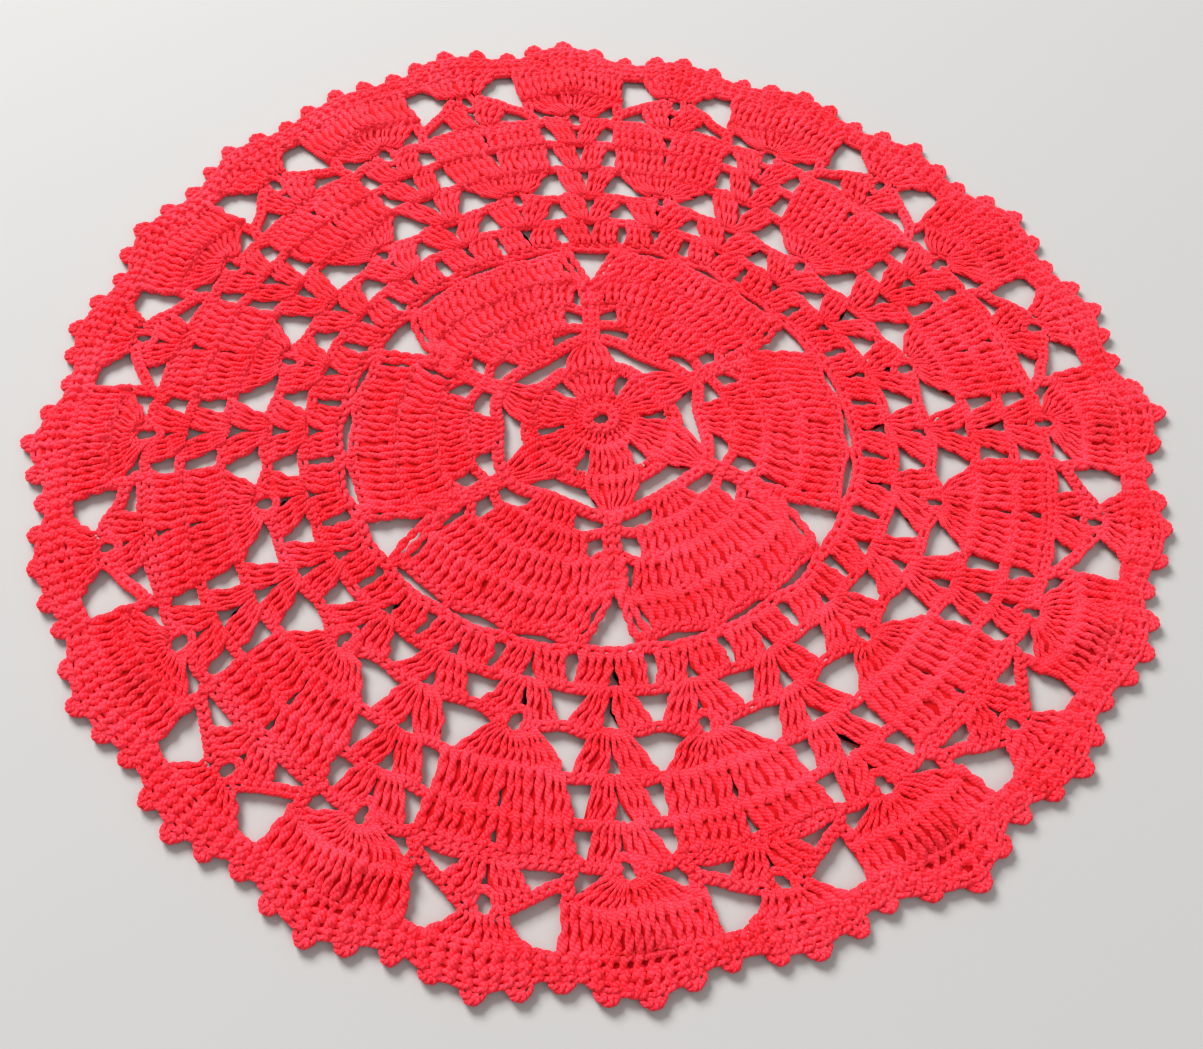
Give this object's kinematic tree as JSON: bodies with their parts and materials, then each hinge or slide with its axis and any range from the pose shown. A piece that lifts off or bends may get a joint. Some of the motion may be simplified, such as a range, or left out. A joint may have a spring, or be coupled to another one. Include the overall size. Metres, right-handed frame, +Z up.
{
  "type": "lace doily",
  "caption": "Round crocheted doily with pineapple fans, open shell rounds and a scalloped picot edge, laid flat.",
  "frame": {"origin": "middle of the doily's outline, on the table that it lies on", "axes": "+Z up, square to the table; +Y towards the picture's far side; +X to the picture's right"},
  "size_m": [0.3386, 0.3398, 0.0054],
  "materials": {
    "red_cotton": "matt crochet cotton"
  },
  "bodies": {
    "root": {"doily": "red_cotton"}
  },
  "joints": []
}
